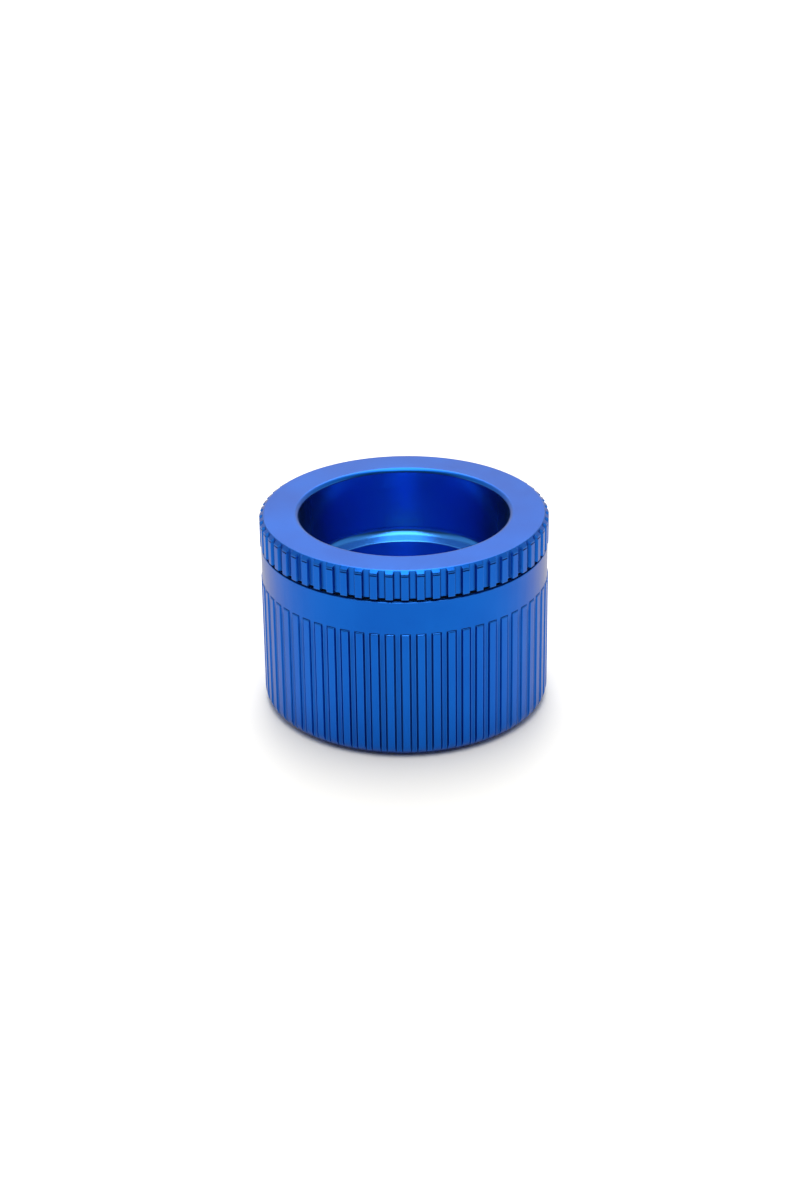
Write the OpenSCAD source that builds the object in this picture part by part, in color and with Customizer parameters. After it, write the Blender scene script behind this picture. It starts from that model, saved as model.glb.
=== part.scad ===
// Screw-type pill crusher: a fluted cup with a hollow, knurled press head that screws down into it.
// The origin is the centre of the foot, with +Z up. All sizes are in millimetres.

/* [Overall] */
// Diameter over the lands of the knurling
outer_d = 50; // [41:0.5:64]
// Height of the closed crusher
total_h = 35; // [32:0.5:48]

/* [Knurling] */
// Number of flutes round the cup and round the head
flute_count = 60; // [40:1:72]
// Width of a flute at its mouth
flute_w = 1.4; // [1.1:0.05:1.6]
// Width of a flute at its floor
flute_floor_w = 0.85; // [0.6:0.05:1]
// Depth of the flutes in the head
head_flute_depth = 0.7; // [0.3:0.05:0.9]
// Depth of the flutes in the cup
cup_flute_depth = 0.2; // [0.15:0.05:0.5]

/* [Cup] */
// Height of the fluted grip, from the foot to the smooth band
grip_h = 23.4; // [18:0.1:28]
// How far the smooth band lies below the lands
band_step = 0.15; // [0.1:0.01:0.3]
// Radius of the rounding round the foot
foot_round = 2.5; // [1:0.1:3]
// Thickness of the floor
floor_t = 5; // [4:0.1:7]
// Wall from the band to the root of the thread
cup_wall = 3.6; // [2.6:0.1:4.5]
// Width of the shoulder between the thread and the crushing chamber
shoulder_w = 2.45; // [1.8:0.05:4]
// Bevel on the sharp outer edges
edge_bevel = 0.08; // [0.05:0.01:0.09]

/* [Press head] */
// Height of the knurled ring of the head
head_ring_h = 5.25; // [4:0.05:8]
// Chamfer round the top of the ring
head_chamfer = 0.65; // [0.3:0.05:1.2]
// Rounding of the inner rim
rim_round = 0.8; // [0.3:0.05:1.5]
// Depth of the recess, from the top to the ledge
recess_depth = 13.2; // [10:0.1:15]
// Radius of the fillet between the recess wall and the ledge
recess_fillet = 1.3; // [0.5:0.05:1.6]
// Wall of the threaded skirt, inside the root of its thread
skirt_wall = 2.1; // [1.5:0.05:3]
// Thickness of the head under the ledge
ledge_t = 2.1; // [1.5:0.05:3]
// Wall of the nose, below the ledge
nose_wall = 1.85; // [1.4:0.05:2.6]
// Thickness of the floor of the nose
nose_floor_t = 3.4; // [3:0.1:4.5]

/* [Thread] */
// Pitch between neighbouring ridges
thread_pitch = 3; // [2.5:0.1:3.6]
// Number of starts
thread_starts = 2; // [1:1:3]
// Height of a ridge
thread_depth = 0.8; // [0.5:0.05:1]
// Width of a ridge at its crest
thread_crest_w = 0.7; // [0.4:0.05:1]
// Width of a ridge at its root
thread_root_w = 1.7; // [1.2:0.05:1.9]
// Length of the thread along the skirt
thread_len = 7.4; // [5:0.1:8]

/* [Crushing discs] */
// Thickness of a disc behind its ridges
disc_t = 3; // [2.5:0.1:4]
// Number of ridges on a disc
ridge_count = 12; // [6:1:20]
// Height of a ridge
ridge_h = 0.9; // [0.5:0.05:1.5]
// Width of a ridge at its foot
ridge_w = 1.8; // [1.2:0.1:2.6]
// Plain border outside the ridges
disc_border = 1.6; // [1:0.1:3]
// Gap between the crests of the two discs when the head is right down
crest_gap = 0.3; // [0.2:0.05:1]

/* [Seal and slip ring] */
// Thickness of the O-ring's cord
oring_cord = 1.5; // [1:0.1:1.8]
// Land between the O-ring groove and the tip of the nose
oring_lip = 0.8; // [0.6:0.05:1]
// Thickness of the slip ring between the head and the cup
slip_ring_t = 0.4; // [0.3:0.05:1]
// How far the slip ring lies inside the lands
slip_ring_inset = 0.7; // [0.3:0.05:1.5]

/* [Fasteners] */
// Diameter of the disc screws
screw_d = 4; // [3:0.1:5]
// Diameter of the screw heads
screw_head_d = 7; // [6:0.1:8.5]
// Height of the screw heads
screw_head_h = 1.6; // [1.2:0.1:2]
// Thickness of the lock washers
washer_t = 0.4; // [0.3:0.05:0.6]
// Depth of a screw in its disc
screw_reach = 2.4; // [1.6:0.1:2.4]
// Width across the flats of the hex socket
socket_w = 2.5; // [2:0.1:3]
// Depth of the hex socket
socket_depth = 1; // [0.6:0.1:1.1]
// Diameter of the dowel pins
dowel_d = 2.5; // [1.5:0.1:3]
// How far a dowel pin goes into each side
dowel_reach = 1.8; // [1:0.1:2]
// Distance of the dowel pins from the edge of the disc
dowel_inset = 7.5; // [5:0.1:8]

/* [Fits] */
// Radial clearance of the thread
thread_clearance = 0.2; // [0.15:0.01:0.3]
// Gap between the nose and the chamber
nose_gap = 0.3; // [0.25:0.01:0.5]
// Gap between the O-ring and the chamber
oring_gap = 0.05; // [0.03:0.01:0.1]
// Gap between the skirt and the shoulder of the cup
shoulder_gap = 0.4; // [0.3:0.05:1]
// Gap round the discs
disc_gap = 0.25; // [0.1:0.01:0.4]
// Gap round the screws and the screw heads
screw_gap = 0.15; // [0.1:0.01:0.3]

/* [Hidden] */

$fn = 96;
over = 1; // how far a cut runs past the face that it opens
thread_steps = 36; // flats in one turn of a thread
runout_steps = 4; // flats over which a thread rises to its full height
round_steps = 16; // steps in a rounded corner of a profile
flute_over = 0.3; // how far a flute's cut runs past the lands, short of its neighbours' cuts
flute_end = 0.1; // how far the cup's flutes run on into the smooth band

// Radii, from the outside in
outer_r = outer_d / 2;
band_r = outer_r - band_step;
cup_root_r = band_r - cup_wall;
head_crest_r = cup_root_r - thread_clearance;
head_root_r = head_crest_r - thread_depth;
cup_crest_r = head_root_r + thread_clearance;
recess_r = head_root_r - skirt_wall;
chamber_r = cup_crest_r - shoulder_w;
nose_r = chamber_r - nose_gap;
well_r = nose_r - nose_wall;
disc_r = chamber_r - disc_gap;
crusher_disc_r = nose_r - disc_gap;
dowel_circle_r = disc_r - dowel_inset;
oring_r = chamber_r - oring_gap - oring_cord / 2;

// Heights, from the foot up
ring_z = total_h - head_ring_h;
cup_top_z = ring_z - slip_ring_t;
ledge_z = total_h - recess_depth;
skirt_z = ledge_z - ledge_t;
shoulder_z = skirt_z - shoulder_gap;
anvil_crest_z = floor_t + disc_t + ridge_h;
nose_z = anvil_crest_z + crest_gap + ridge_h + disc_t;
well_z = nose_z + nose_floor_t;
groove_z = nose_z + oring_lip;
groove_h = oring_cord + 0.2;
groove_r = oring_r - oring_cord / 2;

// Fasteners
screw_r = screw_d / 2;
screw_seat = screw_head_h + washer_t + 0.2; // depth of the counterbore
lead = thread_pitch * thread_starts;
lead_in = thread_depth + 0.15; // bevel at the mouth of the cup, past the root of its thread

// The points of a quarter circle of radius r about c, from angle a to angle b
function arc(c, r, a, b) =
    [for (i = [0 : round_steps]) c + r * [cos(a + (b - a) * i / round_steps), sin(a + (b - a) * i / round_steps)]];

// Height of a thread's crest above its root at a step, as a share: it runs out at both ends
function runout(i, n) = min(1, i / runout_steps, (n - i) / runout_steps);

// A helical ridge from root radius r0 to crest radius r1, climbing h from z0; grow widens its flanks
module thread_ridge(r0, r1, z0, h, grow, start) {
    n = ceil(h / lead * thread_steps);
    rw = thread_root_w / 2 + grow;
    cw = thread_crest_w / 2 + grow;
    points = [
        for (i = [0 : n])
            let (
                a = 360 * (i / thread_steps + start / thread_starts) + 360 * z0 / lead,
                z = z0 + lead * i / thread_steps,
                r = r0 + (r1 - r0) * max(0.05, runout(i, n)),
                w = rw + (cw - rw) * max(0.05, runout(i, n))
            )
            each [
                [r0 * cos(a), r0 * sin(a), z - rw],
                [r * cos(a), r * sin(a), z - w],
                [r * cos(a), r * sin(a), z + w],
                [r0 * cos(a), r0 * sin(a), z + rw],
            ]
    ];
    sides = [
        for (i = [0 : n - 1], k = [0 : 3])
            let (p = 4 * i + k, q = 4 * i + (k + 1) % 4)
            each [[p, q, q + 4], [p, q + 4, p + 4]]
    ];
    ends = [[3, 2, 1], [3, 1, 0], [4 * n, 4 * n + 1, 4 * n + 2], [4 * n, 4 * n + 2, 4 * n + 3]];
    polyhedron(points = points, faces = concat(sides, ends));
}

// All starts of the thread
module thread(r0, r1, z0, h, grow) {
    for (start = [0 : thread_starts - 1])
        thread_ridge(r0, r1, z0, h, grow, start);
}

// Radial ridges on a disc whose face is at z = 0, with their crests up
module disc_ridges(r, turned) {
    for (i = [0 : ridge_count - 1])
        rotate([90, 0, 90 + (i + turned) * 360 / ridge_count])
            translate([0, 0, screw_head_d / 2 + ridge_w])
                linear_extrude(height = r - disc_border - screw_head_d / 2 - ridge_w)
                    polygon([[-ridge_w / 2, -0.2], [ridge_w / 2, -0.2], [ridge_w / 2, 0], [0.25, ridge_h],
                        [-0.25, ridge_h], [-ridge_w / 2, 0]]);
}

// The two dowel pins or, with a gap, their holes
module dowels(z, reach, gap) {
    for (side = [-1, 1])
        translate([side * dowel_circle_r, 0, z - reach])
            cylinder(r = dowel_d / 2 + gap, h = 2 * reach);
}

// A low-headed screw with its head up and the underside of its head at z = 0
module disc_screw(length) {
    difference() {
        union() {
            cylinder(r = screw_head_d / 2, h = screw_head_h);
            translate([0, 0, -length])
                cylinder(r = screw_r, h = length + screw_head_h / 2);
        }
        translate([0, 0, screw_head_h - socket_depth])
            cylinder(d = socket_w / cos(30), h = socket_depth + over, $fn = 6);
    }
}

// The lock washer of a screw, from z = 0 up
module lock_washer() {
    difference() {
        cylinder(r = screw_head_d / 2, h = washer_t);
        translate([0, 0, -over])
            cylinder(r = screw_r + screw_gap, h = washer_t + 2 * over);
    }
}

// The counterbored hole of a disc screw: the seat is open upwards and its floor is at z = 0
module screw_hole(seat, through) {
    cylinder(r = screw_head_d / 2 + screw_gap, h = seat);
    translate([0, 0, -through])
        cylinder(r = screw_r + screw_gap, h = through + seat);
}

// Round blank of the cup: foot rounding, fluted grip, smooth band, chamber, shoulder and thread bore
module cup_blank() {
    rotate_extrude()
        polygon(concat(
            [[0, 0]],
            arc([outer_r - foot_round, foot_round], foot_round, -90, 0),
            [
                [outer_r, grip_h - edge_bevel],
                [outer_r - edge_bevel, grip_h],
                [band_r, grip_h],
                [band_r, cup_top_z - edge_bevel],
                [band_r - edge_bevel, cup_top_z],
                [cup_crest_r + lead_in, cup_top_z],
                [cup_crest_r, cup_top_z - lead_in],
                [cup_crest_r, shoulder_z],
                [chamber_r, shoulder_z],
                [chamber_r, floor_t],
                [0, floor_t],
            ]
        ));
}

// Straight-sided flutes of a depth, from z = z0 up over a height h
module flutes(depth, z0, h) {
    floor_r = outer_r - depth;
    flare = (flute_w - flute_floor_w) / 2 / depth;
    mouth = flute_w / 2 + flare * flute_over;
    for (i = [0 : flute_count - 1])
        rotate([0, 0, (i + 0.5) * 360 / flute_count])
            translate([0, 0, z0])
                linear_extrude(height = h)
                    polygon([[floor_r, -flute_floor_w / 2], [outer_r + flute_over, -mouth],
                        [outer_r + flute_over, mouth], [floor_r, flute_floor_w / 2]]);
}

module body() {
    color("royalblue")
        difference() {
            cup_blank();
            flutes(cup_flute_depth, -over, grip_h + flute_end + over);
            thread(head_root_r, cup_root_r, shoulder_z - thread_pitch, cup_top_z - shoulder_z + 2 * thread_pitch,
                thread_clearance);
            rotate([180, 0, 0])
                translate([0, 0, -screw_seat])
                    screw_hole(screw_seat + over, floor_t);
            dowels(floor_t, dowel_reach, 0);
        }
}

// Round blank of the head: ring, recess with its ledge, well, skirt and nose
module head_blank() {
    rotate_extrude()
        polygon(concat(
            [
                [0, nose_z],
                [nose_r, nose_z],
                [nose_r, groove_z],
                [groove_r, groove_z],
                [groove_r, groove_z + groove_h],
                [nose_r, groove_z + groove_h],
                [nose_r, skirt_z],
                [head_root_r, skirt_z],
                [head_root_r, ring_z],
                [outer_r - edge_bevel, ring_z],
                [outer_r, ring_z + edge_bevel],
                [outer_r, total_h - head_chamfer],
                [outer_r - head_chamfer, total_h],
            ],
            arc([recess_r + rim_round, total_h - rim_round], rim_round, 90, 180),
            arc([recess_r - recess_fillet, ledge_z + recess_fillet], recess_fillet, 0, -90),
            [
                [well_r, ledge_z],
                [well_r, well_z],
                [0, well_z],
            ]
        ));
}

module press_head() {
    color("royalblue")
        difference() {
            union() {
                head_blank();
                thread(head_root_r - 0.4, head_crest_r, skirt_z + thread_root_w / 2, thread_len - thread_root_w, 0);
            }
            flutes(head_flute_depth, cup_top_z, head_ring_h + slip_ring_t + over);
            translate([0, 0, well_z - screw_seat])
                screw_hole(screw_seat + over, nose_floor_t);
            dowels(nose_z, dowel_reach, 0);
        }
}

module slip_ring() {
    color("black")
        translate([0, 0, cup_top_z])
            difference() {
                cylinder(r = outer_r - slip_ring_inset, h = slip_ring_t);
                translate([0, 0, -over])
                    cylinder(r = head_crest_r + nose_gap, h = slip_ring_t + 2 * over);
            }
}

module plunger_oring() {
    color("dimgray")
        translate([0, 0, groove_z + groove_h / 2])
            rotate_extrude()
                translate([oring_r, 0])
                    circle(r = oring_cord / 2, $fn = 32);
}

// A crushing disc whose back is at z = 0 and whose ridges point up
module crushing_disc(r, turned) {
    difference() {
        union() {
            cylinder(r = r, h = disc_t);
            translate([0, 0, disc_t])
                disc_ridges(r, turned);
        }
        translate([0, 0, -over])
            cylinder(r = screw_r, h = screw_reach + over);
        dowels(0, dowel_reach, 0);
    }
}

module crusher_disc() {
    color("silver")
        translate([0, 0, nose_z])
            rotate([180, 0, 0])
                crushing_disc(crusher_disc_r, 0.5);
}

module crusher_screw() {
    color("gray")
        translate([0, 0, well_z - screw_seat + washer_t])
            disc_screw(nose_floor_t - screw_seat + washer_t + screw_reach);
}

module crusher_lock_washer() {
    color("lightgray")
        translate([0, 0, well_z - screw_seat])
            lock_washer();
}

module crusher_dowel_pins() {
    color("darkgray")
        dowels(nose_z, dowel_reach, 0);
}

module anvil_disc() {
    color("silver")
        translate([0, 0, floor_t])
            crushing_disc(disc_r, 0);
}

module anvil_screw() {
    color("gray")
        translate([0, 0, screw_seat - washer_t])
            rotate([180, 0, 0])
                disc_screw(floor_t - screw_seat + washer_t + screw_reach);
}

module anvil_lock_washer() {
    color("lightgray")
        translate([0, 0, screw_seat - washer_t])
            lock_washer();
}

module anvil_dowel_pins() {
    color("darkgray")
        dowels(floor_t, dowel_reach, 0);
}

body();
press_head();
slip_ring();
plunger_oring();
crusher_disc();
crusher_screw();
crusher_lock_washer();
crusher_dowel_pins();
anvil_disc();
anvil_screw();
anvil_lock_washer();
anvil_dowel_pins();
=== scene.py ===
"""Screw pill crusher in satin blue anodised aluminium: its looks, on a pale floor under soft light.

Everything is in metres in the frame of the CAD model, with +Z up and the foot at z = 0.
"""

import math

import bmesh
import bpy
from mathutils import Matrix, Vector


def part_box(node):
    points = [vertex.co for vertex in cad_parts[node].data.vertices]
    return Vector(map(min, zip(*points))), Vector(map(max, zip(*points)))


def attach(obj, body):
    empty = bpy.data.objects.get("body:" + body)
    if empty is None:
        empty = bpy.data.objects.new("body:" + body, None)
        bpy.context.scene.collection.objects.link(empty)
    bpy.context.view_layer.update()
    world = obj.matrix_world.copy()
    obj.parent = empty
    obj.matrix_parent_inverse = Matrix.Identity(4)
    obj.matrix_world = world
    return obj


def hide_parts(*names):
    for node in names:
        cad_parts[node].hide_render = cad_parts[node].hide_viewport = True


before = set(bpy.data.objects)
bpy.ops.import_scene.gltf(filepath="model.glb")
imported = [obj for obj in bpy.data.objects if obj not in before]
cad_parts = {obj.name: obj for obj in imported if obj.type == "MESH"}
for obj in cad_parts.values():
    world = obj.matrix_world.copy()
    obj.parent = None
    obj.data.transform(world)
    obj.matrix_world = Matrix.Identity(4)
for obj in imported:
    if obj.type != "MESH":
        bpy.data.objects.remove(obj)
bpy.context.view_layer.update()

MM = 0.001
TURN = 2 * math.pi

# ---------------------------------------------------------------- sizes from the frame

head_low, head_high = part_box("press_head")
slip_low, slip_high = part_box("slip_ring")
anvil_low, anvil_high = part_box("anvil_disc")
_, crusher_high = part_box("crusher_disc")
oring_low, oring_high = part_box("plunger_oring")
anvil_screw_low, anvil_screw_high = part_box("anvil_screw")
crusher_screw_low, crusher_screw_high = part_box("crusher_screw")

OUTER_R = head_high.x  # over the lands of the knurling
TOP_Z = head_high.z
RING_Z = slip_high.z  # underside of the knurled ring
CUP_TOP_Z = slip_low.z
FLOOR_Z = anvil_low.z
NOSE_Z = head_low.z
SCREW_HEAD_R = crusher_screw_high.x
SCREW_HEAD_H = 1.6 * MM

# ---------------------------------------------------------------- sizes of the details

# Knurling: flutes round the cup and the head
FLUTES = 60
FLUTE_PITCH = TURN * OUTER_R / FLUTES
FLUTE_W = 1.42 * MM
HEAD_FLUTE_FLOOR_W = 1.12 * MM
HEAD_FLUTE_DEPTH = 0.62 * MM
NICK_DEPTH = 0.13 * MM  # of the line cut round the head just under its bevel
BAND_DROP = 0.15 * MM  # how far the smooth band and the floor of a cup flute lie below the lands
GROOVE_DEPTH = 0.45 * MM  # of the narrow groove down each side of a cup flute
HOLLOW = 0.12 * MM  # how far the floor of a cup flute is hollowed between its grooves

# Cup
GRIP_Z = 23.4 * MM  # top of the fluted grip
HOLLOW_END = 1.6  # where the hollow of the flute floors starts to run out, in mm below the grip's top
HOLLOW_FADE = 1.3  # the height over which it runs out, in mm
BAND_R = OUTER_R - BAND_DROP
FOOT_ROUND = 2.5 * MM
CUP_WALL = 3.6 * MM  # from the band to the root of the thread
MOUTH_GROOVE_DEPTH = 0.35 * MM  # of the groove behind the thin rim of the mouth
LEAD_IN_W = 0.2 * MM  # bevel at the top of the thread
LEAD_IN_H = 0.35 * MM
THREAD_ROOT_R = BAND_R - CUP_WALL
THREAD_DEPTH = 0.8 * MM
THREAD_CLEARANCE = 0.2 * MM

# Screws
SHANK_R = 2.0 * MM
SCREW_GAP = 0.15 * MM
BORE_R = SHANK_R + SCREW_GAP
COUNTERBORE_R = SCREW_HEAD_R + SCREW_GAP
SEAT_EXTRA = 0.6 * MM  # for the washer, and for sinking the head below the face
SCREW_SEAT = SCREW_HEAD_H + SEAT_EXTRA  # depth of a screw's counterbore
SCREW_REACH = 2.4 * MM  # how far a screw goes into its disc
SOCKET_W = 2.5 * MM  # across the flats of the hex socket
SOCKET_DEPTH = 1.0 * MM

# Press head
HEAD_CHAMFER_W = 0.75 * MM
HEAD_CHAMFER_H = 0.5 * MM
RIM_ROUND = 0.8 * MM
RECESS_DEPTH = 13.2 * MM
RECESS_FILLET = 1.6 * MM
LEDGE_RISE = 1.0 * MM  # how far the ledge climbs from the well to the recess's wall
LEDGE_T = 2.1 * MM  # of the head, under the inner edge of the ledge
SKIRT_WALL = 2.1 * MM  # from the recess to the root of the thread
SHOULDER_GAP = 0.4 * MM  # between the skirt and the cup's shoulder
SHOULDER_W = 2.45 * MM  # from the thread to the chamber
NOSE_GAP = 0.3 * MM  # between the nose and the chamber
NOSE_WALL = 1.85 * MM
NOSE_FLOOR_T = 3.4 * MM
ORING_CORD = 1.5 * MM
SEAL_GROOVE_LOW = 0.8 * MM  # edges of the O-ring's groove, over the tip of the nose
SEAL_GROOVE_HIGH = 2.5 * MM
HEAD_CREST_R = THREAD_ROOT_R - THREAD_CLEARANCE
HEAD_ROOT_R = HEAD_CREST_R - THREAD_DEPTH
RECESS_R = HEAD_ROOT_R - SKIRT_WALL
LEDGE_Z = TOP_Z - RECESS_DEPTH
SKIRT_Z = LEDGE_Z - LEDGE_T
SHOULDER_Z = SKIRT_Z - SHOULDER_GAP
CHAMBER_R = HEAD_ROOT_R + THREAD_CLEARANCE - SHOULDER_W
NOSE_R = CHAMBER_R - NOSE_GAP
WELL_R = NOSE_R - NOSE_WALL
WELL_Z = NOSE_Z + NOSE_FLOOR_T
SEAL_GROOVE_R = -oring_low.x - ORING_CORD
SLIP_RING_W = 3.3 * MM

# Thread
THREAD_PITCH = 3.0 * MM
THREAD_STARTS = 2
LEAD = THREAD_PITCH * THREAD_STARTS
THREAD_CREST_W = 0.7 * MM
THREAD_ROOT_W = 1.7 * MM
THREAD_LENGTH = 7.4 * MM
THREAD_SINK = 0.1 * MM  # how far the foot of a ridge is sunk into its wall
CUP_RIDGE_LOW = 1.2 * MM  # from the shoulder to the cup's ridges
CUP_RIDGE_HIGH = 1.3 * MM  # from the cup's ridges to the mouth

# Crushing discs
DISC_T = 3.0 * MM
RIDGES = 12
RIDGE_W = 1.8 * MM
DISC_BORDER = 1.6 * MM

FEW = 5  # the plain insides take every fifth column of the fluted outsides

# ---------------------------------------------------------------- outlines


def rounded(corners, steps):
    """A line through corners (x, y, radius), with an arc in that many steps in place of each inner corner."""
    line = []
    for i, (x, y, radius) in enumerate(corners):
        here = Vector((x, y))
        if radius == 0 or i in (0, len(corners) - 1):
            line.append(here)
            continue
        back = (Vector(corners[i - 1][:2]) - here).normalized()
        on = (Vector(corners[i + 1][:2]) - here).normalized()
        half = back.angle(on) / 2
        centre = here + (back + on).normalized() * radius / math.sin(half)
        start = here + back * radius / math.tan(half) - centre
        end = here + on * radius / math.tan(half) - centre
        first = math.atan2(start.y, start.x)
        sweep = (math.atan2(end.y, end.x) - first + math.pi) % TURN - math.pi
        for k in range(steps + 1):
            a = first + sweep * k / steps
            line.append(centre + radius * Vector((math.cos(a), math.sin(a))))
    return line


def held(line, hold=0.04 * MM, longest=0.5 * MM):
    """The line with a point close to each end of its long stretches, so that they shade flat."""
    points = [line[0]]
    for before, after in zip(line, line[1:]):
        length = (after - before).length
        if length > longest:
            points.append(before.lerp(after, hold / length))
            points.append(after.lerp(before, hold / length))
        points.append(after)
    return points


def flute_section(half_section):
    """One flute across, from mid-land to mid-land: (distance from its centre, drop below the lands).
    A point beside each of the two flat stretches keeps it flat in shading."""
    beside_edge = Vector((0.06 * MM, 0))
    share_of_floor = 0.3
    half = rounded([(-FLUTE_PITCH / 2, 0, 0)] + half_section, steps=2)
    half.insert(1, half[1] - beside_edge)
    half.insert(-1, half[-2].lerp(half[-1], share_of_floor))
    other_half = [Vector((-p.x, p.y)) for p in half[-2:0:-1]]
    return half + other_half


def columns_of(section):
    """The angle and the drop of every column round the object, for that flute section."""
    columns = []
    for i in range(FLUTES):
        for p in section:
            columns.append((TURN * (i + 0.5) / FLUTES + p.x / OUTER_R, p.y))
    return columns


# ---------------------------------------------------------------- meshes


def turned(line, angles):
    """The rings of a turned surface: one for each (radius, height) of the line."""
    return [[(p.x * math.cos(a), p.x * math.sin(a), p.y) for a in angles] for p in line]


def ring_of(columns, place):
    """One ring: place(drop) gives the radius and the height at a column."""
    ring = []
    for angle, drop in columns:
        r, z = place(drop)
        ring.append((r * math.cos(angle), r * math.sin(angle), z))
    return ring


def skin(rings, closed):
    """Vertices and faces over rings. A ring may have a whole multiple of its neighbour's points.
    Where the rings don't close on themselves, a flat cap closes each end."""
    verts, faces, starts = [], [], []
    for ring in rings:
        starts.append(len(verts))
        verts.extend(ring)
    pairs = list(zip(range(len(rings)), range(1, len(rings))))
    if closed:
        pairs.append((len(rings) - 1, 0))
    else:
        faces.append(list(range(len(rings[0])))[::-1])
        faces.append([starts[-1] + k for k in range(len(rings[-1]))])
    for i, j in pairs:
        here, there = len(rings[i]), len(rings[j])
        count = min(here, there)
        for k in range(count):
            low = [starts[i] + (k * here // count + m) % here for m in range(here // count + 1)]
            high = [starts[j] + (k * there // count + m) % there for m in range(there // count + 1)]
            faces.append(low + high[::-1])
    return verts, faces


def edge_marks(mesh):
    """Two attributes of the vertices, from 0 to 1: how sharply the surface bends out and how sharply it bends
    in. The materials pale the outward bends, for wear and as a painted highlight, and darken the inward ones
    as painted shade.
    """
    smallest_area = 1e-14
    sharp = 1 / (0.4 * MM)  # the bend of an edge that counts as 1
    work = bmesh.new()
    work.from_mesh(mesh)
    bends = []
    for v in work.verts:
        area = sum(f.calc_area() / len(f.verts) for f in v.link_faces)
        bend = sum(e.calc_face_angle_signed(0) * e.calc_length() for e in v.link_edges if e.is_manifold)
        bends.append(bend / (4 * area) if area > smallest_area else 0)
    work.free()
    for name, sign in (("wear_and_sheen", 1), ("deep", -1)):
        marks = mesh.attributes.new(name, "FLOAT", "POINT")
        marks.data.foreach_set("value", [min(1, max(0, sign * b / sharp)) for b in bends])


def piece(name, verts, faces, material, body, slot, node, sharp_angle=50, bore=None, bore_r=0):
    """A new mesh piece that rides on a body and stands for a CAD node.
    Faces whose middle lies inside bore_r take the material called bore, where there is one: a smoother finish
    whose lighter blue is painted light for the inside of the recess."""
    mesh = bpy.data.meshes.new(name)
    mesh.from_pydata(verts, [], faces)
    mesh.validate()
    mesh.shade_smooth()
    mesh.set_sharp_from_angle(angle=math.radians(sharp_angle))
    edge_marks(mesh)
    mesh.materials.append(material)
    if bore:
        mesh.materials.append(bore)
        for face in mesh.polygons:
            face.material_index = int(face.center.xy.length < bore_r)
    thing = bpy.data.objects.new(name, mesh)
    bpy.context.collection.objects.link(thing)
    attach(thing, body)
    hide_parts(node)
    return thing


def joined(*parts):
    """Several (vertices, faces) as one."""
    verts, faces = [], []
    for more_verts, more_faces in parts:
        start = len(verts)
        verts.extend(more_verts)
        faces.extend([start + i for i in face] for face in more_faces)
    return verts, faces


def thread_ridge(root_r, crest_r, root_w, crest_w, z0, height, start):
    """One helical ridge on the wall at root_r, closed all round, that runs out at both ends.
    It stands outwards where crest_r is the larger radius, and inwards where it is the smaller."""
    steps_per_turn = 120
    runout = 14  # steps over which it rises to its full height
    end_w = 0.4  # share of the width that is left at the very end
    count = round(height / LEAD * steps_per_turn)
    way = math.copysign(1, crest_r - root_r)
    sunk_r = root_r - way * THREAD_SINK
    half = rounded(
        [
            (sunk_r, -root_w / 2, 0),
            (root_r, -root_w / 2, 0.1 * MM),
            (crest_r, -crest_w / 2, 0.12 * MM),
            (crest_r, 0, 0),
        ],
        steps=3,
    )
    across = half + [Vector((p.x, -p.y)) for p in half[-2::-1]]
    rings = []
    for i in range(count + 1):
        turn = i / steps_per_turn + start / THREAD_STARTS + z0 / LEAD
        rise = min(1, (i + 1) / runout, (count - i + 1) / runout)
        z = z0 + LEAD * i / steps_per_turn
        ring = []
        for p in across:
            r = sunk_r + (p.x - sunk_r) * rise
            up = p.y * (end_w + (1 - end_w) * rise)
            ring.append((r * math.cos(TURN * turn), r * math.sin(TURN * turn), z + up))
        rings.append(ring)
    n = len(across)
    verts = [p for ring in rings for p in ring]
    faces = []
    for i in range(count):
        for k in range(n):
            on = (k + 1) % n
            quad = [i * n + k, i * n + on, (i + 1) * n + on, (i + 1) * n + k]
            faces.append(quad if way < 0 else quad[::-1])
    first = list(range(n))
    faces.append(first if way > 0 else first[::-1])
    last = [count * n + k for k in range(n)]
    faces.append(last[::-1] if way > 0 else last)
    return verts, faces


# ---------------------------------------------------------------- materials


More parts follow.
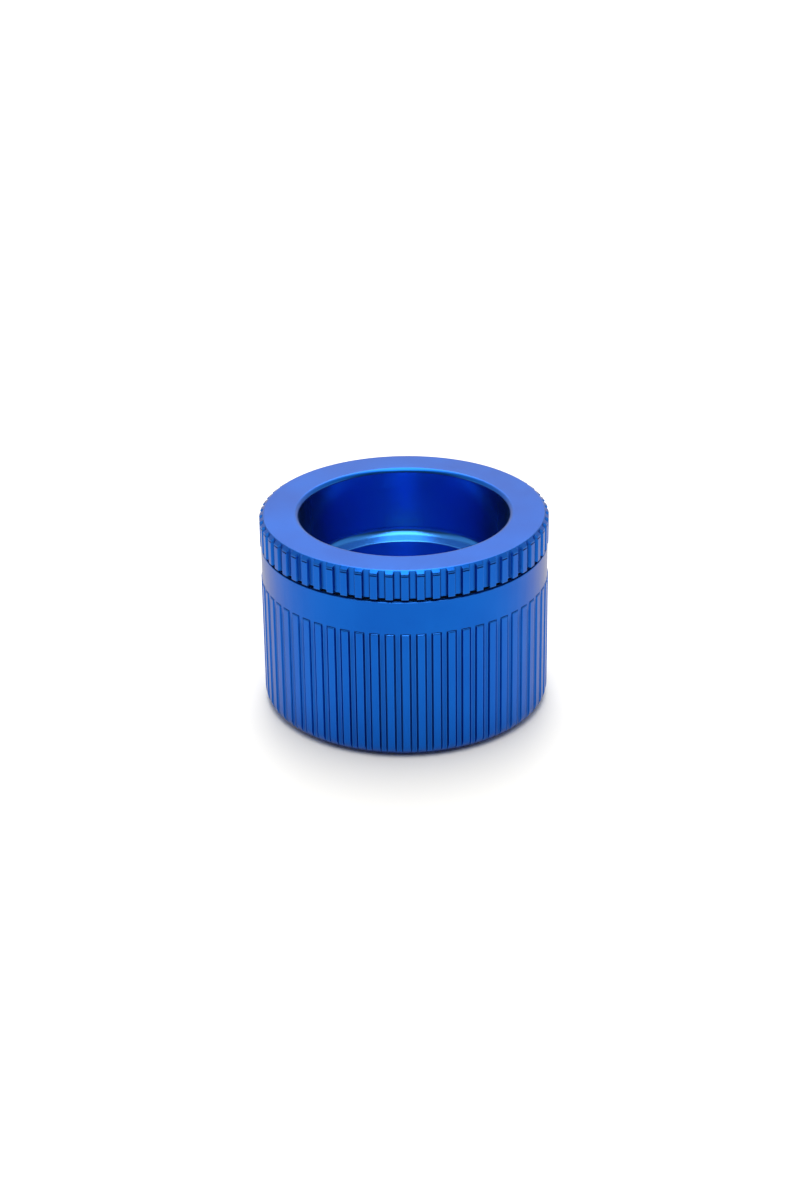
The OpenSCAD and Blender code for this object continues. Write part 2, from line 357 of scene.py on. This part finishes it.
class Nodes:
    """Short calls for building a material's node tree."""

    def __init__(self, name):
        self.material = bpy.data.materials.new(name)
        self.material.use_nodes = True
        self.tree = self.material.node_tree
        self.shader = self.tree.nodes["Principled BSDF"]

    def set(self, **sockets):
        """Uniform values on the shader's own sockets."""
        for name, value in sockets.items():
            self.shader.inputs[name.replace("_", " ")].default_value = value

    def add(self, kind, inputs=None, **settings):
        node = self.tree.nodes.new(kind)
        for key, value in settings.items():
            setattr(node, key, value)
        for key, value in (inputs or {}).items():
            if isinstance(value, bpy.types.NodeSocket):
                self.tree.links.new(value, node.inputs[key])
            else:
                node.inputs[key].default_value = value
        return node

    def math(self, operation, a, b):
        return self.add("ShaderNodeMath", {0: a, 1: b}, operation=operation).outputs[0]

    def place(self):
        """The object's own coordinates."""
        return self.add("ShaderNodeTexCoord").outputs["Object"]

    def noise(self, scale, detail):
        inputs = {"Vector": self.place(), "Scale": scale, "Detail": detail}
        return self.add("ShaderNodeTexNoise", inputs).outputs["Fac"]

    def turning(self, pitch):
        """Tool marks of turning: fine rings by distance from the axis and by height."""
        apart = self.add("ShaderNodeSeparateXYZ", {0: self.place()}).outputs
        flat = self.add("ShaderNodeCombineXYZ", {0: apart[0], 1: apart[1]}).outputs[0]
        radius = self.add("ShaderNodeVectorMath", {0: flat}, operation="LENGTH").outputs["Value"]
        way = self.math("ADD", radius, apart[2])
        line = self.add("ShaderNodeCombineXYZ", {0: self.math("MULTIPLY", way, 1 / pitch)}).outputs[0]
        return self.add("ShaderNodeTexNoise", {"Vector": line, "Scale": 1.0, "Detail": 3.0}).outputs["Fac"]

    def attribute(self, name):
        return self.add("ShaderNodeAttribute", attribute_name=name).outputs["Fac"]

    def ramp(self, factor, low, high, at=(0.3, 0.7)):
        """A value that goes from low to high while factor goes from at[0] to at[1]."""
        inputs = {"Value": factor, "From Min": at[0], "From Max": at[1], "To Min": low, "To Max": high}
        return self.add("ShaderNodeMapRange", inputs).outputs["Result"]

    def mix(self, factor, first, second):
        """A colour between two colours."""
        node = self.add("ShaderNodeMix", data_type="RGBA")
        for socket, value in zip((node.inputs[0], node.inputs[6], node.inputs[7]), (factor, first, second)):
            if isinstance(value, bpy.types.NodeSocket):
                self.tree.links.new(value, socket)
            else:
                socket.default_value = value
        return node.outputs[2]

    def finish(self, colour, roughness, height, strength, distance):
        """Links the colour, the roughness and a bump to the shader."""
        links = self.tree.links
        links.new(colour, self.shader.inputs["Base Color"])
        links.new(roughness, self.shader.inputs["Roughness"])
        inputs = {"Strength": strength, "Distance": distance, "Height": height}
        bump = self.add("ShaderNodeBump", inputs)
        links.new(bump.outputs[0], self.shader.inputs["Normal"])
        return self.material


def anodised_blue(name, dark, light, roughness, edge_tint, coat):
    """Dyed aluminium under its clear oxide: fine grain, slightly uneven dye, edges paled for wear and as a
    painted highlight, and painted shade darkening the inner corners.
    """
    # Edge colour: partly wear, partly a painted highlight along the edges.
    wear_and_sheen_edge = (0.04, 0.22, 0.66, 1)
    # Painted shade for the inner corners, grooves and creases.
    painted_corner_shade = (0.0, 0.008, 0.08, 1)
    cloud_spread, grain_spread = 0.025, 0.03
    n = Nodes(name)
    n.set(Metallic=1.0, Specular_Tint=edge_tint, Coat_Weight=coat, Coat_Roughness=0.28, Coat_IOR=1.5)
    cloud = n.noise(90, 3)
    grain = n.noise(9000, 2)
    colour = n.mix(n.ramp(cloud, 0, 1), dark, light)
    # Outward bends paled: wear, and a painted highlight along the edges.
    colour = n.mix(n.math("MULTIPLY", n.attribute("wear_and_sheen"), 0.25), colour, wear_and_sheen_edge)
    # Inward bends darkened: painted shade in corners, grooves and creases.
    colour = n.mix(n.math("MULTIPLY", n.attribute("deep"), 0.7), colour, painted_corner_shade)
    uneven = n.ramp(cloud, roughness - cloud_spread, roughness + cloud_spread)
    rough = n.math("ADD", uneven, n.ramp(grain, -grain_spread, grain_spread))
    return n.finish(colour, rough, grain, strength=0.12, distance=0.02 * MM)


def turned_steel(name, base, mark_pitch, roughness):
    """Stainless steel with the fine rings of a lathe tool, edges paled for wear and as a painted highlight,
    and painted shade in the inner corners.
    """
    # Edge colour: partly wear, partly a painted highlight along the edges.
    wear_and_sheen_edge = (0.86, 0.86, 0.84, 1)
    # Painted shade for the inner corners, grooves and creases.
    painted_corner_shade = (0.12, 0.12, 0.12, 1)
    mark_spread, grain_spread = 0.1, 0.02
    n = Nodes(name)
    n.set(Metallic=1.0)
    marks = n.turning(mark_pitch)
    grain = n.noise(6000, 2)
    dark = tuple(c * 0.86 for c in base) + (1,)
    colour = n.mix(n.ramp(marks, 0, 1), dark, tuple(base) + (1,))
    # Outward bends paled: wear, and a painted highlight along the edges.
    colour = n.mix(n.math("MULTIPLY", n.attribute("wear_and_sheen"), 0.5), colour, wear_and_sheen_edge)
    # Inward bends darkened: painted shade in corners, grooves and creases.
    colour = n.mix(n.math("MULTIPLY", n.attribute("deep"), 0.6), colour, painted_corner_shade)
    uneven = n.ramp(marks, roughness, roughness + mark_spread)
    rough = n.math("ADD", uneven, n.ramp(grain, -grain_spread, grain_spread))
    return n.finish(colour, rough, marks, strength=0.25, distance=0.01 * MM)


def soft_black(name, base, roughness, grain_scale, shine):
    """A matt black polymer or rubber with a fine moulded grain."""
    spread = 0.06
    n = Nodes(name)
    n.set(IOR=1.4, Specular_IOR_Level=shine)
    grain = n.noise(grain_scale, 3)
    cloud = n.noise(120, 3)
    pale = tuple(c * 2 for c in base) + (1,)
    colour = n.mix(n.ramp(cloud, 0, 1), tuple(base) + (1,), pale)
    rough = n.ramp(grain, roughness - spread, roughness + spread)
    return n.finish(colour, rough, grain, strength=0.2, distance=0.02 * MM)


blasted_blue = anodised_blue(
    "blasted_blue", dark=(0.0008, 0.090, 0.46, 1), light=(0.0016, 0.110, 0.52, 1),
    roughness=0.335, edge_tint=(1.0, 0.85, 0.6, 1), coat=0.12)
# The bored insides: smoother and more coated than the blasted outside, in a lighter blue that is painted
# light, standing in for the light inside the recess.
bored_blue_painted_light = anodised_blue(
    "bored_blue_painted_light", dark=(0.002, 0.200, 0.70, 1), light=(0.004, 0.230, 0.78, 1),
    roughness=0.225, edge_tint=(0.85, 0.85, 0.65, 1), coat=0.9)
disc_steel = turned_steel("disc_steel", base=(0.58, 0.58, 0.56), mark_pitch=0.05 * MM, roughness=0.24)
screw_steel = turned_steel("screw_steel", base=(0.42, 0.42, 0.43), mark_pitch=0.03 * MM, roughness=0.28)
slip_polymer = soft_black(
    "slip_polymer", base=(0.001, 0.003, 0.010), roughness=0.65, grain_scale=5000, shine=0.1)
seal_rubber = soft_black(
    "seal_rubber", base=(0.012, 0.012, 0.013), roughness=0.62, grain_scale=3500, shine=0.5)


# ---------------------------------------------------------------- cup


def build_cup():
    """The fluted cup: foot, grip, smooth band, mouth, thread, shoulder and chamber."""
    columns = columns_of(flute_section([
        (-FLUTE_W / 2, 0, 0.05 * MM),
        (-0.60 * MM, GROOVE_DEPTH, 0.05 * MM),
        (-0.48 * MM, GROOVE_DEPTH, 0.05 * MM),
        (-0.37 * MM, BAND_DROP, 0.04 * MM),
        (-0.20 * MM, BAND_DROP + 0.75 * HOLLOW, 0.2 * MM),
        (0, BAND_DROP + HOLLOW, 0),
    ]))
    few = [angle for angle, drop in columns[::FEW]]
    foot_steps = 10
    foot_r = OUTER_R - FOOT_ROUND

    def foot(step):
        def place(drop):
            wall = OUTER_R - drop
            last = -math.acos((wall - foot_r) / FOOT_ROUND)
            a = -math.pi / 2 + (last + math.pi / 2) * step
            return foot_r + FOOT_ROUND * math.cos(a), FOOT_ROUND * (1 + math.sin(a))
        return ring_of(columns, place)

    def grip_top(share, dip, up):
        """A ring up mm over the grip's top: the share of the way to the band, and a dip of that many mm
        round each land. The hollow of the floors runs out a little below the band."""
        full_at = 0.05 * MM  # height over the floor at which a point counts as off it
        run_out = min(1, (up + HOLLOW_END) / HOLLOW_FADE)

        def place(drop):
            hollow = min(max(drop - BAND_DROP, 0), HOLLOW)
            off_floor = min(1, abs(drop - BAND_DROP - hollow) / full_at)
            filled = drop - hollow * run_out * (1 - off_floor)
            level = BAND_DROP + dip * MM * off_floor
            return OUTER_R - filled - (level - filled) * share, GRIP_Z + up * MM
        return ring_of(columns, place)

    rings = [foot(k / foot_steps) for k in range(foot_steps + 1)]
    rings.append(ring_of(columns, lambda drop: (OUTER_R - drop, FOOT_ROUND + 0.3 * MM)))
    for share, dip, up in (
        (0, 0, -HOLLOW_END), (0, 0, -0.25), (0, 0, -0.19), (0.06, 0, -0.16), (0.85, 0, -0.03), (1, 0.05, 0),
        (1, 0.09, 0.03), (1, 0.09, 0.08), (1, 0, 0.15), (1, 0, 0.19),
    ):
        rings.append(grip_top(share, dip, up))
    mouth = held(rounded(
        [
            (BAND_R, GRIP_Z + 1 * MM, 0),
            (BAND_R, CUP_TOP_Z - 0.08 * MM, 0.03 * MM),
            (BAND_R - 0.10 * MM, CUP_TOP_Z, 0.03 * MM),
            (BAND_R - 0.22 * MM, CUP_TOP_Z, 0.03 * MM),
            (BAND_R - 0.26 * MM, CUP_TOP_Z - MOUTH_GROOVE_DEPTH, 0.03 * MM),
            (BAND_R - 0.52 * MM, CUP_TOP_Z - MOUTH_GROOVE_DEPTH, 0.03 * MM),
            (BAND_R - 0.55 * MM, CUP_TOP_Z, 0.03 * MM),
            (BAND_R - 1.4 * MM, CUP_TOP_Z, 0),
        ],
        steps=2,
    ))
    rings += turned(mouth[:1], [angle for angle, drop in columns])
    inside = held(rounded(
        [
            (BAND_R - 1.8 * MM, CUP_TOP_Z, 0),
            (THREAD_ROOT_R + LEAD_IN_W, CUP_TOP_Z, 0.06 * MM),
            (THREAD_ROOT_R, CUP_TOP_Z - LEAD_IN_H, 0.06 * MM),
            (THREAD_ROOT_R, SHOULDER_Z, 0.15 * MM),
            (CHAMBER_R, SHOULDER_Z, 0.25 * MM),
            (CHAMBER_R, FLOOR_Z, 0.1 * MM),
            (BORE_R, FLOOR_Z, 0.05 * MM),
            (BORE_R, SCREW_SEAT, 0.05 * MM),
            (COUNTERBORE_R, SCREW_SEAT, 0.1 * MM),
            (COUNTERBORE_R, 0, 0.15 * MM),
            (foot_r - 1.0 * MM, 0, 0),
        ],
        steps=4,
    ))
    rings += turned(mouth[1:] + inside, few)
    return skin(rings, closed=True)


def cup_ridges():
    """The cup's own thread, which stands between the turns of the head's."""
    low = SHOULDER_Z + CUP_RIDGE_LOW
    high = CUP_TOP_Z - CUP_RIDGE_HIGH
    root_w = THREAD_PITCH - THREAD_CREST_W - 2 * THREAD_CLEARANCE
    crest_w = THREAD_PITCH - THREAD_ROOT_W - 2 * THREAD_CLEARANCE
    ridges = []
    for start in range(THREAD_STARTS):
        ridges.append(thread_ridge(THREAD_ROOT_R, HEAD_ROOT_R + THREAD_CLEARANCE,
                                   root_w, crest_w, low, high - low, start + 0.5))
    return ridges


piece("cup_shell", *joined(build_cup(), *cup_ridges()), blasted_blue, "cup", "blue_anodised", "body",
      bore=bored_blue_painted_light, bore_r=THREAD_ROOT_R)


# ---------------------------------------------------------------- press head


def build_head():
    """The knurled ring, the recess with its ledge and well, the nose, the seal groove and the skirt."""
    columns = columns_of(flute_section([
        (-FLUTE_W / 2, 0, 0.06 * MM),
        (-HEAD_FLUTE_FLOOR_W / 2, HEAD_FLUTE_DEPTH, 0.17 * MM),
        (0, HEAD_FLUTE_DEPTH, 0),
    ]))
    angles = [angle for angle, drop in columns]
    few = angles[::FEW]
    flat_r = OUTER_R - HEAD_CHAMFER_W
    inner_r = flat_r - 0.5 * MM
    edge = held(rounded(
        [
            (OUTER_R, TOP_Z - HEAD_CHAMFER_H - 0.25 * MM, 0),
            (OUTER_R, TOP_Z - HEAD_CHAMFER_H, 0.3 * MM),
            (flat_r, TOP_Z, 0.2 * MM),
            (inner_r, TOP_Z, 0),
        ],
        steps=5,
    ))[1:-1]

    def edge_ring(step):
        """A ring on the bevelled edge. A flute's wall meets it higher up, and squeezes the rest of it."""
        tiny = 1e-9

        def place(drop):
            wall = OUTER_R - drop
            meets = next((i for i in range(len(edge) - 1) if edge[i + 1].x < wall - tiny), 0)
            reach = (edge[meets].x - wall) / (edge[meets].x - edge[meets + 1].x) if drop else 0
            low = meets + reach
            at = low + (len(edge) - 1 - low) * step
            i = min(int(at), len(edge) - 2)
            p = edge[i].lerp(edge[i + 1], at - i)
            return p.x, p.y
        return ring_of(columns, place)

    def wall(up, back=0):
        """A ring that far above the ring's underside, set back for the bevel there."""
        return ring_of(columns, lambda drop: (OUTER_R - drop - back, RING_Z + up))

    def nick(down, depth):
        """A ring under the bevel, where the lands lie that much deeper."""
        return ring_of(columns, lambda drop: (OUTER_R - max(drop, depth), TOP_Z - HEAD_CHAMFER_H - down))

    rings = [
        wall(0, 0.24 * MM),
        wall(0.05 * MM, 0.10 * MM),
        wall(0.12 * MM, 0.025 * MM),
        wall(0.20 * MM),
        wall(0.25 * MM),
    ]
    rings += [nick(0.56 * MM, 0), nick(0.50 * MM, 0), nick(0.46 * MM, NICK_DEPTH)]
    rings += [nick(0.26 * MM, NICK_DEPTH), nick(0.22 * MM, 0)]
    rings += [edge_ring(k / (len(edge) - 1)) for k in range(len(edge))]
    rings.append([(inner_r * math.cos(a), inner_r * math.sin(a), TOP_Z) for a in angles])
    inside = held(rounded(
        [
            (inner_r - 0.3 * MM, TOP_Z, 0),
            (RECESS_R, TOP_Z, RIM_ROUND),
            (RECESS_R, LEDGE_Z + LEDGE_RISE, RECESS_FILLET),
            (WELL_R, LEDGE_Z, 0.3 * MM),
            (WELL_R, WELL_Z, 0.5 * MM),
            (COUNTERBORE_R, WELL_Z, 0.12 * MM),
            (COUNTERBORE_R, WELL_Z - SCREW_SEAT, 0.05 * MM),
            (BORE_R, WELL_Z - SCREW_SEAT, 0.05 * MM),
            (BORE_R, NOSE_Z, 0.05 * MM),
            (NOSE_R, NOSE_Z, 0.2 * MM),
            (NOSE_R, NOSE_Z + SEAL_GROOVE_LOW, 0.08 * MM),
            (SEAL_GROOVE_R, NOSE_Z + SEAL_GROOVE_LOW, 0.1 * MM),
            (SEAL_GROOVE_R, NOSE_Z + SEAL_GROOVE_HIGH, 0.1 * MM),
            (NOSE_R, NOSE_Z + SEAL_GROOVE_HIGH, 0.08 * MM),
            (NOSE_R, SKIRT_Z, 0.2 * MM),
            (HEAD_ROOT_R, SKIRT_Z, 0.2 * MM),
            (HEAD_ROOT_R, RING_Z, 0.1 * MM),
            (OUTER_R - 1.6 * MM, RING_Z, 0),
        ],
        steps=8,
    ))
    rings += turned(inside, few)
    ridges = [
        thread_ridge(HEAD_ROOT_R, HEAD_CREST_R, THREAD_ROOT_W, THREAD_CREST_W,
                     SKIRT_Z + THREAD_ROOT_W / 2, THREAD_LENGTH - THREAD_ROOT_W, start)
        for start in range(THREAD_STARTS)
    ]
    return joined(skin(rings, closed=True), *ridges)


piece("press_head_shell", *build_head(), blasted_blue, "head", "blue_anodised", "press_head",
      bore=bored_blue_painted_light, bore_r=RECESS_R + 0.05 * MM)


# ---------------------------------------------------------------- slip ring and seal

ROUND_STEPS = 360
ALL_ROUND = [TURN * k / ROUND_STEPS for k in range(ROUND_STEPS)]


def build_slip_ring():
    """The thin flat ring between the knurled ring and the mouth of the cup."""
    inner = slip_high.x - SLIP_RING_W
    line = rounded(
        [
            (inner, slip_low.z, 0),
            (slip_high.x, slip_low.z, 0.12 * MM),
            (slip_high.x, slip_high.z, 0.12 * MM),
            (inner, slip_high.z, 0),
        ],
        steps=4,
    )
    return skin(turned(line, ALL_ROUND), closed=True)


piece("slip_washer", *build_slip_ring(), slip_polymer, "riser", "slip_polymer", "slip_ring")


def build_oring():
    """The seal, with the fine parting line of its mould round the outside and the inside."""
    cord_r = (oring_high.z - oring_low.z) / 2
    middle = Vector((oring_high.x - cord_r, (oring_high.z + oring_low.z) / 2))
    steps = 24
    off_line = 0.985  # share of the radius away from the parting line
    line = []
    for k in range(steps):
        a = TURN * k / steps
        reach = cord_r * (1.0 if k % (steps // 2) == 0 else off_line)
        line.append(middle + reach * Vector((math.cos(a), math.sin(a))))
    return skin(turned(line, ALL_ROUND), closed=True)


piece("nose_seal", *build_oring(), seal_rubber, "head", "seal_rubber", "plunger_oring")


# ---------------------------------------------------------------- crushing discs


def build_disc(radius, face_up):
    """A disc with straight radial ridges and a blind screw hole in its back. It is drawn with its back at
    z = 0, and then set in its place with the ridges up or down."""
    ridge_h = anvil_high.z - anvil_low.z - DISC_T
    inner_r = SCREW_HEAD_R + RIDGE_W
    outer_r = radius - DISC_BORDER
    half = [(-1.12, 0), (-1.06, 0), (-0.96, 0.03), (-0.36, 0.94), (-0.30, 0.99), (-0.22, 1)]
    offsets = half + [(0, 1)] + [(-x, share) for x, share in half[::-1]]
    between = 5  # columns in the flat between two ridges

    def ring(r, height):
        """A ring of that radius whose ridges have that height."""
        points = []
        for i in range(RIDGES):
            middle = TURN * i / RIDGES
            marks = [(math.asin(x * RIDGE_W / 2 / max(r, inner_r)), share) for x, share in offsets]
            gap = TURN / RIDGES - 2 * marks[-1][0]
            marks += [(marks[-1][0] + gap * (k + 1) / (between + 1), 0) for k in range(between)]
            points += [(r * math.cos(middle + a), r * math.sin(middle + a), DISC_T + height * share)
                       for a, share in marks]
        return points

    def plain(r, z):
        """A level ring, with the columns of the ridged ones."""
        return [(x, y, z) for x, y, _ in ring(r, 0)]

    back_bevel = 0.25 * MM
    face_bevel = 0.3 * MM
    hold = 0.05 * MM  # distance of the ring that keeps a bevel's neighbour flat
    ends = 0.7 * MM  # length of a ridge's slope at either end
    rows = [(inner_r - 0.15 * MM, 0), (inner_r - 0.1 * MM, 0), (inner_r, 0.04)]
    rows += [(inner_r + ends, 0.94), (inner_r + ends * 1.3, 1)]
    rows += [(inner_r + (outer_r - inner_r) * k / 8, 1) for k in range(2, 8)]
    rows += [(outer_r - ends * 1.3, 1), (outer_r - ends, 0.94), (outer_r, 0.04)]
    rows += [(outer_r + 0.1 * MM, 0), (outer_r + 0.15 * MM, 0)]
    rings = [
        plain(SHANK_R, SCREW_REACH),
        plain(SHANK_R, 0),
        plain(radius - back_bevel - hold, 0),
        plain(radius - back_bevel, 0),
        plain(radius, back_bevel),
        plain(radius, back_bevel + hold),
        plain(radius, DISC_T - face_bevel - hold),
        plain(radius, DISC_T - face_bevel),
        plain(radius - face_bevel, DISC_T),
        plain(radius - face_bevel - hold, DISC_T),
    ]
    rings += [ring(r, ridge_h * share) for r, share in reversed(rows)]
    rings += [plain(inner_r / 2, DISC_T)]
    verts, faces = skin(rings, closed=False)
    if face_up:
        return [(x, y, z + anvil_low.z) for x, y, z in verts], faces
    half_pitch = TURN / RIDGES / 2
    c, s = math.cos(half_pitch), math.sin(half_pitch)
    flipped = [(x * c - y * s, x * s + y * c, crusher_high.z - z) for x, y, z in verts]
    return flipped, [face[::-1] for face in faces]


piece("anvil_plate", *build_disc(anvil_high.x, True), disc_steel, "cup", "disc_steel", "anvil_disc",
      sharp_angle=30)
piece("crusher_plate", *build_disc(crusher_high.x, False), disc_steel, "head", "disc_steel", "crusher_disc",
      sharp_angle=30)


# ---------------------------------------------------------------- screws


def build_screw(length):
    """A low-headed socket screw with its head up and the underside of its head at z = 0."""
    steps = 96
    angles = [TURN * k / steps for k in range(steps)]
    socket_z = SCREW_HEAD_H - SOCKET_DEPTH
    outside = held(rounded(
        [
            (SHANK_R / 2, -length, 0),
            (SHANK_R, -length, 0.4 * MM),
            (SHANK_R, 0, 0),
            (SCREW_HEAD_R, 0, 0.15 * MM),
            (SCREW_HEAD_R, SCREW_HEAD_H, 0.35 * MM),
            (2.2 * MM, SCREW_HEAD_H, 0),
        ],
        steps=4,
    ))
    rings = turned(outside, angles)

    def hexagon(grow, z):
        """A ring round the socket, that far outside its flats."""
        ring = []
        for a in angles:
            off = (a + TURN / 12) % (TURN / 6) - TURN / 12
            r = (SOCKET_W / 2 + grow) / math.cos(off)
            ring.append((r * math.cos(a), r * math.sin(a), z))
        return ring

    for grow, down in ((0.15, 0), (0.12, 0), (0.02, 0.08), (0, 0.12)):
        rings.append(hexagon(grow * MM, SCREW_HEAD_H - down * MM))
    rings += [hexagon(0, socket_z), hexagon(-0.2 * MM, socket_z)]
    rings += turned([Vector((0.1 * MM, socket_z - 0.3 * MM))], angles)
    return skin(rings, closed=False)


def place_screw(name, low, high, head_up, body, node):
    """A screw in the box of its CAD node, from low to high."""
    length = high.z - low.z - SCREW_HEAD_H
    verts, faces = build_screw(length)
    if head_up:
        verts = [(x, y, z + high.z - SCREW_HEAD_H) for x, y, z in verts]
    else:
        verts = [(x, -y, low.z + SCREW_HEAD_H - z) for x, y, z in verts]
    piece(name, verts, faces, screw_steel, body, "fastener_steel", node, sharp_angle=40)


place_screw("crusher_cap_screw", crusher_screw_low, crusher_screw_high, True, "head", "crusher_screw")
place_screw("anvil_cap_screw", anvil_screw_low, anvil_screw_high, False, "cup", "anvil_screw")

for name in ("crusher_lock_washer", "crusher_dowel_pins", "anvil_lock_washer", "anvil_dowel_pins"):
    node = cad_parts[name]
    node.data.materials.clear()
    node.data.materials.append(screw_steel)


# ---------------------------------------------------------------- floor, light and camera


def pale_floor():
    """A wide pale floor, with the slightest unevenness."""
    mesh = bpy.data.meshes.new("floor")
    reach = 3.0
    corners = [(-reach, -reach, 0), (reach, -reach, 0), (reach, reach, 0), (-reach, reach, 0)]
    mesh.from_pydata(corners, [], [(0, 1, 2, 3)])
    n = Nodes("floor_white")
    cloud = n.noise(3, 2)
    colour = n.mix(cloud, (0.96, 0.945, 0.90, 1), (0.98, 0.965, 0.92, 1))
    rough = n.ramp(cloud, 0.6, 0.7)
    mesh.materials.append(n.finish(colour, rough, cloud, strength=0.02, distance=0.1 * MM))
    floor = bpy.data.objects.new("floor", mesh)
    bpy.context.collection.objects.link(floor)


def softbox(name, place, aim, size, radiance):
    """A rectangular softbox that looks as bright as radiance."""
    light = bpy.data.lights.new(name, "AREA")
    light.shape = "RECTANGLE"
    light.size, light.size_y = size
    light.energy = radiance * math.pi * size[0] * size[1]
    lamp = bpy.data.objects.new(name, light)
    lamp.location = place
    lamp.rotation_euler = (Vector(aim) - Vector(place)).to_track_quat("-Z", "Y").to_euler()
    bpy.context.collection.objects.link(lamp)


def soft_room(levels):
    """Light from all round. Each of the levels is (where it comes from, strength), from -1 at the front
    to 1 at the back."""
    world = bpy.data.worlds.new("soft_room")
    world.use_nodes = True
    tree = world.node_tree
    way = tree.nodes.new("ShaderNodeTexCoord")
    apart = tree.nodes.new("ShaderNodeSeparateXYZ")
    share = tree.nodes.new("ShaderNodeMapRange")
    share.inputs["From Min"].default_value = -1
    ramp = tree.nodes.new("ShaderNodeValToRGB")
    ramp.color_ramp.interpolation = "EASE"
    stops = ramp.color_ramp.elements
    while len(stops) < len(levels):
        stops.new(0.5)
    for stop, (place, strength) in zip(stops, levels):
        stop.position = (place + 1) / 2
        stop.color = (strength, strength, strength, 1)
    tree.links.new(way.outputs["Generated"], apart.inputs[0])
    tree.links.new(apart.outputs["Y"], share.inputs["Value"])
    tree.links.new(share.outputs["Result"], ramp.inputs[0])
    tree.links.new(ramp.outputs[0], tree.nodes["Background"].inputs["Color"])
    bpy.context.scene.world = world


def camera(distance, elevation, roll, lens, shift):
    """The camera, looking along +Y and down at the middle of the object."""
    data = bpy.data.cameras.new("camera")
    data.lens = lens
    data.sensor_width = 36
    data.shift_x, data.shift_y = shift
    eye = bpy.data.objects.new("camera", data)
    aim = Vector((0, 0, TOP_Z / 2))
    away = Vector((0, -math.cos(elevation), math.sin(elevation)))
    eye.location = aim + distance * away
    turn = away.to_track_quat("Z", "Y").to_matrix().to_4x4() @ Matrix.Rotation(roll, 4, "Z")
    eye.rotation_euler = turn.to_euler()
    bpy.context.collection.objects.link(eye)
    bpy.context.scene.camera = eye


pale_floor()
soft_room([(-0.65, 0.10), (-0.15, 0.70), (0.6, 0.80), (0.9, 1.10)])
softbox("overhead", place=(0, 0.20, 0.80), aim=(0, 0.20, 0), size=(0.42, 1.8), radiance=3.8)
camera(distance=433.7 * MM, elevation=math.radians(26.05), roll=math.radians(-0.75), lens=74.1,
       shift=(-0.00425, 0.0011))

view = bpy.context.scene.view_settings
view.view_transform = "Standard"
view.look = "None"
